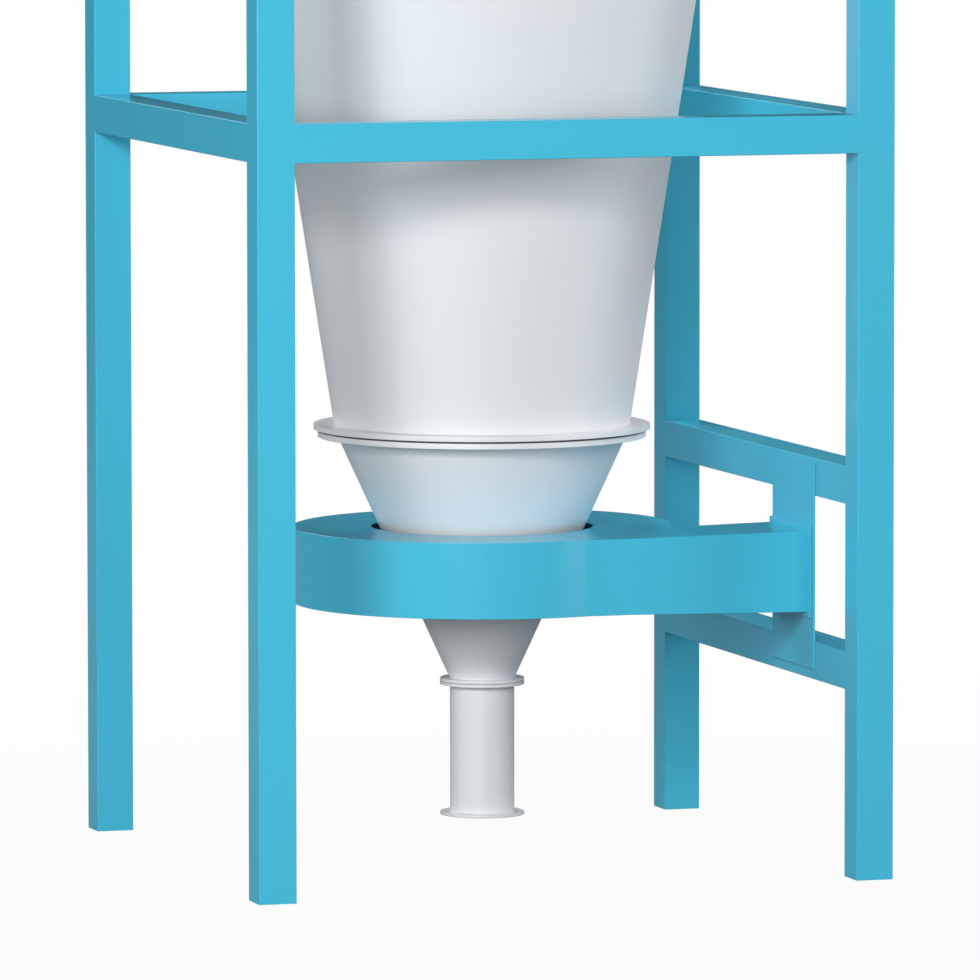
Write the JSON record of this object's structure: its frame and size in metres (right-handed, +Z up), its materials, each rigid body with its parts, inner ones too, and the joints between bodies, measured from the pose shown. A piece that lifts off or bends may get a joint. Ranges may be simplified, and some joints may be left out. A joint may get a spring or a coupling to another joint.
{
  "type": "cyclone separator",
  "caption": "Steel cyclone separator with two stacked cones, a tangential inlet and a duct collar, hung in a square-tube frame.",
  "frame": {"origin": "on the floor, in the middle of the frame's footprint and on the cyclone's axis", "axes": "+X to the right along the front, towards the inlet and the duct's mounting plate; +Y to the back; +Z up along the cyclone's axis"},
  "size_m": [1.715, 1.7, 4.4195],
  "materials": {
    "frame_paint": "gloss turquoise paint",
    "collar_paint": "gloss turquoise paint",
    "vessel_paint": "satin white paint",
    "gasket_rubber": "matt"
  },
  "bodies": {
    "root": {"barrel_roof": "vessel_paint", "barrel_shell": "vessel_paint", "collar_bottom_plate": "collar_paint", "collar_round_wall": "collar_paint", "collar_top_plate": "collar_paint", "discharge_pipe": "vessel_paint", "duct_back_wall": "collar_paint", "duct_end_flange": "collar_paint", "duct_front_wall": "collar_paint", "duct_mounting_plate": "collar_paint", "gas_outlet_pipe": "vessel_paint", "gaskets": "gasket_rubber", "inlet_duct": "vessel_paint", "inlet_flange": "vessel_paint", "lower_cone": "vessel_paint", "mid_beam_back": "frame_paint", "mid_beam_front": "frame_paint", "mid_beam_left": "frame_paint", "mid_beam_right": "frame_paint", "post_back_left": "frame_paint", "post_back_right": "frame_paint", "post_front_left": "frame_paint", "post_front_right": "frame_paint", "side_rail_lower": "frame_paint", "side_rail_upper": "frame_paint", "support_lug_back": "vessel_paint", "support_lug_front": "vessel_paint", "support_lug_left": "vessel_paint", "support_lug_right": "vessel_paint", "top_beam_back": "frame_paint", "top_beam_front": "frame_paint", "top_beam_left": "frame_paint", "top_beam_right": "frame_paint", "upper_cone": "vessel_paint"}
  },
  "joints": []
}
